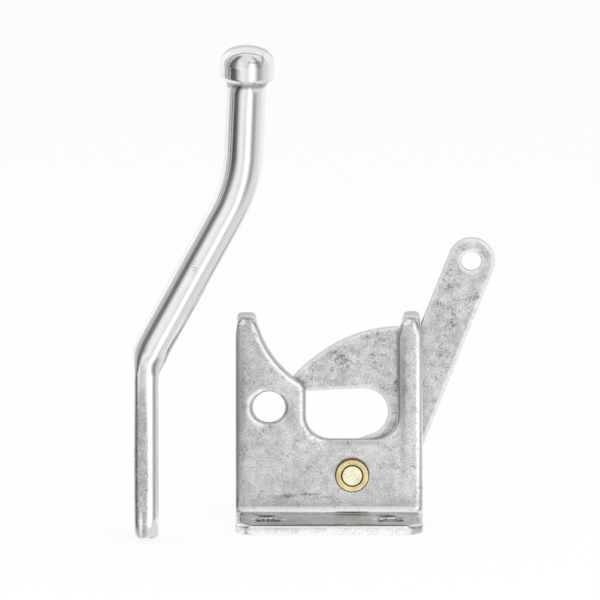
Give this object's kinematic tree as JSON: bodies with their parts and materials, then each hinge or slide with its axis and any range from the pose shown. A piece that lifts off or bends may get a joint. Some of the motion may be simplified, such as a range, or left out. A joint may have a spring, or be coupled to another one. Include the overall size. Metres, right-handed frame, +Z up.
{
  "type": "gate latch",
  "caption": "Self-locking gate latch: a folded steel bracket with a notch and a pivoting lever, and a cranked striker bar with a domed head that drops into the notch.",
  "frame": {"origin": "on the seat of the latch bracket, the underside of its foot, midway between the two fixing holes", "axes": "+Z up from the seat along the fixing holes, +X to the right towards the lever's arm, and -Y towards the viewer and the free end of the foot"},
  "size_m": [0.1182, 0.0437, 0.1635],
  "materials": {
    "plate_zinc": "dull zinc plate with a fine mottle",
    "lever_zinc": "matt zinc plate with small dark specks",
    "bar_zinc": "bright zinc plate",
    "rivet_yellow": "yellow passivated zinc plate",
    "collar_yellow": "yellow passivated zinc plate"
  },
  "bodies": {
    "latch": {"latch_plate": "plate_zinc", "pivot_rivet": "rivet_yellow", "rivet_collar": "collar_yellow", "striker_bar": "bar_zinc"},
    "lever": {"latch_lever": "lever_zinc"}
  },
  "joints": [
    {"name": "lever_pivot", "type": "hinge", "parent": "latch", "child": "lever", "pos_m": [0.0075, 0.01405, 0.0161], "axis": [0, 1, 0], "range_deg": [0, 50]}
  ]
}
